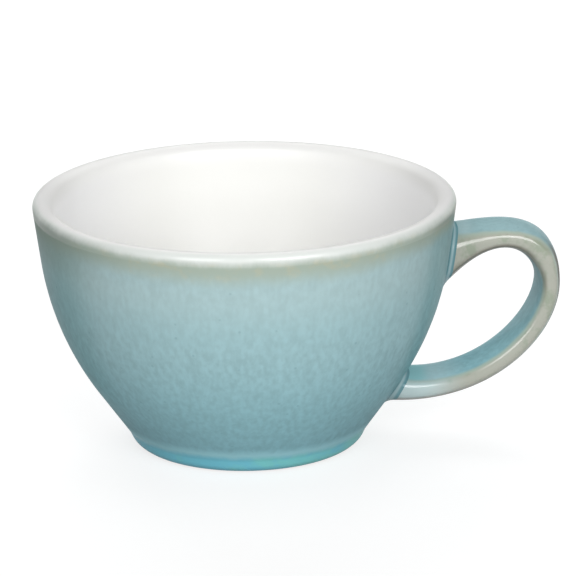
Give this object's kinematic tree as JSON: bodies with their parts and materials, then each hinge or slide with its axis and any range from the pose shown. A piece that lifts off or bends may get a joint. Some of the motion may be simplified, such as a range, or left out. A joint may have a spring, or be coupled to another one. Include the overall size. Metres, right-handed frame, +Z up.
{
  "type": "cappuccino cup",
  "caption": "Low, wide stoneware cup with a rounded lip, a belly that narrows to a small foot ring and an open ear-shaped strap handle, for hot milky coffee.",
  "frame": {"origin": "on the bowl's axis, in the plane of the foot ring that the cup stands on", "axes": "+Z up along the bowl's axis, +X towards the handle, +Y to the left of the handle seen from above"},
  "size_m": [0.12, 0.096, 0.0578],
  "materials": {
    "clay": "matte fired stoneware",
    "white_glaze": "glossy white liner glaze",
    "blue_glaze": "satin grey-blue reactive glaze with fine streaks",
    "turquoise_glaze": "glossy turquoise pooled glaze",
    "handle_glaze": "satin blue glaze that breaks to olive along the edges",
    "slip": "glazed slip fillet"
  },
  "bodies": {
    "root": {"bowl": "clay", "liner_glaze": "white_glaze", "wall_glaze": "blue_glaze", "foot_glaze": "turquoise_glaze", "base_glaze": "turquoise_glaze", "handle": "clay", "handle_glaze": "handle_glaze", "upper_slip_joint": "slip", "lower_slip_joint": "slip"}
  },
  "joints": []
}
